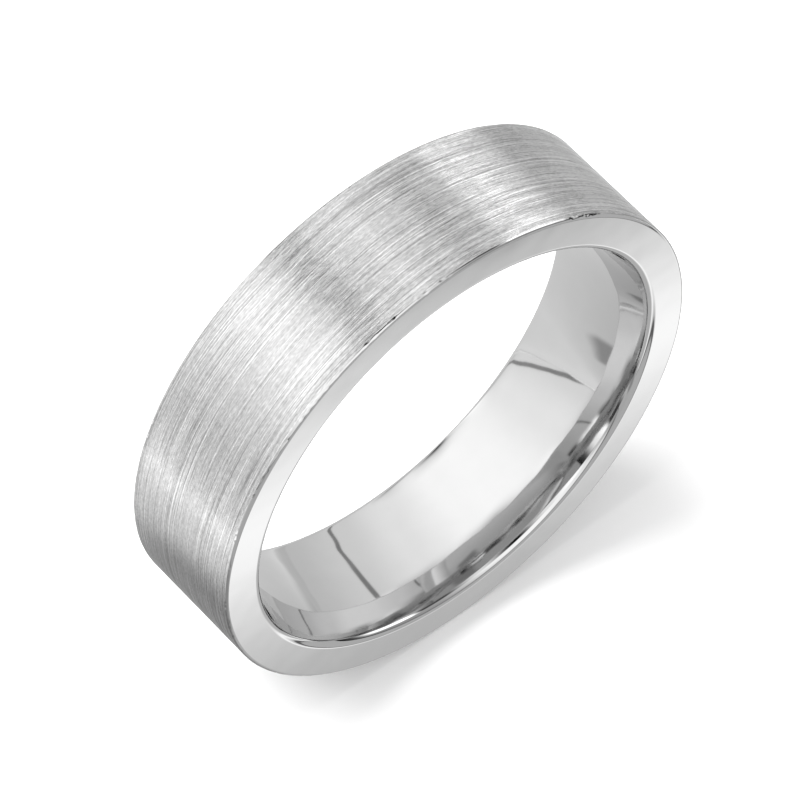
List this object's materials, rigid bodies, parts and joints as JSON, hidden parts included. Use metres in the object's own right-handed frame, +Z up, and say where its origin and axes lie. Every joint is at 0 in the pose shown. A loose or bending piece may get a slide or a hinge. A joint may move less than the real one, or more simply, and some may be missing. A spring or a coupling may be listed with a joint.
{
  "type": "wedding band",
  "caption": "Plain flat-profile ring of white metal with a satin outer face, polished flat side faces and a polished domed comfort-fit bore",
  "frame": {"origin": "Centre of the finger hole, halfway across the band's width", "axes": "+Y along the ring's axis, from one side face to the other; +Z up, with the ring standing on its rim; +X across the ring, to the right when looking along +Y"},
  "size_m": [0.0238, 0.006, 0.0238],
  "materials": {
    "white_gold": "Rhodium-white gold alloy. Outer face: fine satin lines running round the ring. Edges, side faces and bore: high polish."
  },
  "bodies": {
    "root": {"band": "white_gold"}
  },
  "joints": []
}
